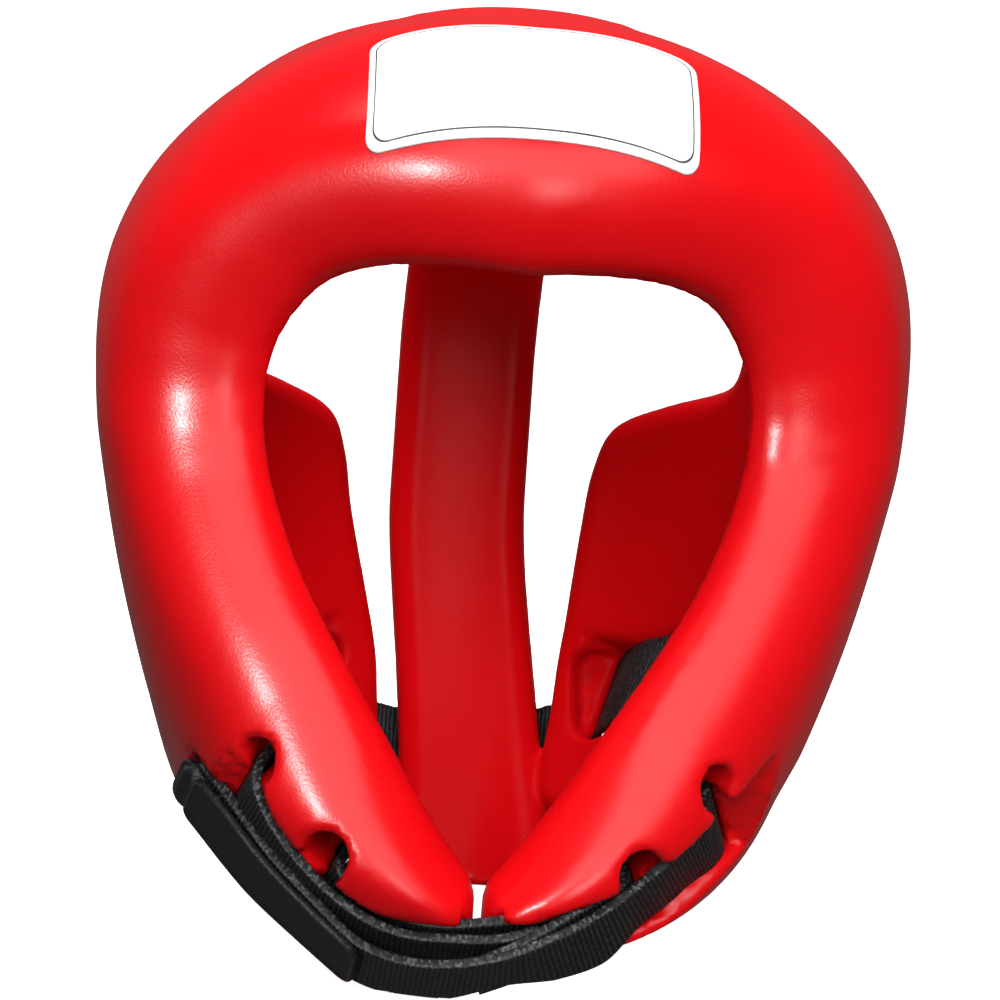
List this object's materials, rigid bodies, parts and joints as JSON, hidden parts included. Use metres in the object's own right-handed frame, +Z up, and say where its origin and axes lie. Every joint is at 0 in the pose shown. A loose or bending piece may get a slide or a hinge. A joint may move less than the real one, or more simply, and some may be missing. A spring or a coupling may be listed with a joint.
{
  "type": "kick-boxing head guard",
  "caption": "Moulded foam head guard with an open face, padded brow and cheeks, a crown strip, side wings and a fastened webbing chin strap.",
  "frame": {"origin": "middle of the base, on the surface that the guard rests on", "axes": "+Z up, -Y out of the face opening, +X to the right of someone who looks at the face opening"},
  "size_m": [0.2068, 0.2178, 0.248],
  "materials": {
    "foam_skin": "satin",
    "label": "smooth",
    "webbing": "ribbed weave",
    "tab": "matte"
  },
  "bodies": {
    "root": {"shell": "foam_skin", "front_label": "label", "chin_strap_left": "webbing", "chin_strap_right": "webbing", "hook_tab": "tab", "rear_strap": "webbing"}
  },
  "joints": []
}
